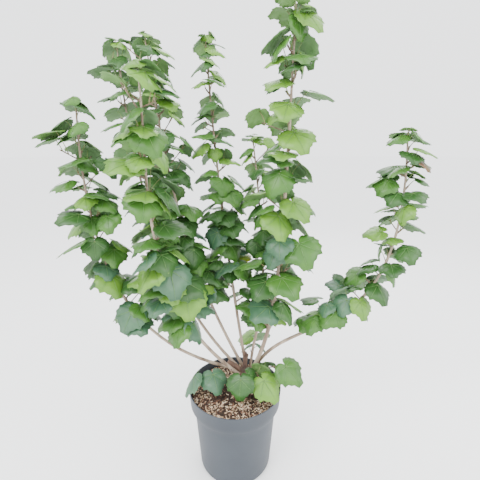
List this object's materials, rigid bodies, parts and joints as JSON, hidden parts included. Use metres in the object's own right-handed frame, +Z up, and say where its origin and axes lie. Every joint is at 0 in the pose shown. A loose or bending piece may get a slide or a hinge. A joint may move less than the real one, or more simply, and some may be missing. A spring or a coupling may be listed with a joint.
{
  "type": "potted redcurrant bush",
  "caption": "Redcurrant bush in a dark grey nursery pot: canes fan out from a short woody stool over chip mulch, each set with lobed green leaves.",
  "frame": {"origin": "centre of the pot's flat underside", "axes": "+Z up along the pot's axis, -Y towards the front of the plant as pictured, +X to its right"},
  "size_m": [0.9465, 0.5006, 1.2476],
  "materials": {
    "pot_plastic": "matte",
    "compost": "matte",
    "bark": "matte",
    "leaf": "satin"
  },
  "bodies": {
    "root": {"pot": "pot_plastic", "root_ball": "compost", "stool": "bark", "cane_far_left": "bark", "cane_front_left": "bark", "cane_rear_left": "bark", "cane_rear_middle_left": "bark", "cane_rear": "bark", "cane_front_right": "bark", "cane_right": "bark", "cane_rear_right": "bark", "foliage_low_left": "leaf", "foliage_low_front": "leaf", "foliage_low_front_left": "leaf", "foliage_low_right": "leaf", "foliage_low_rear": "leaf", "foliage_far_left": "leaf", "foliage_front_left": "leaf", "foliage_rear_left": "leaf", "foliage_rear_middle_left": "leaf", "foliage_rear": "leaf", "foliage_front_right": "leaf", "foliage_right": "leaf", "foliage_rear_right": "leaf"}
  },
  "joints": []
}
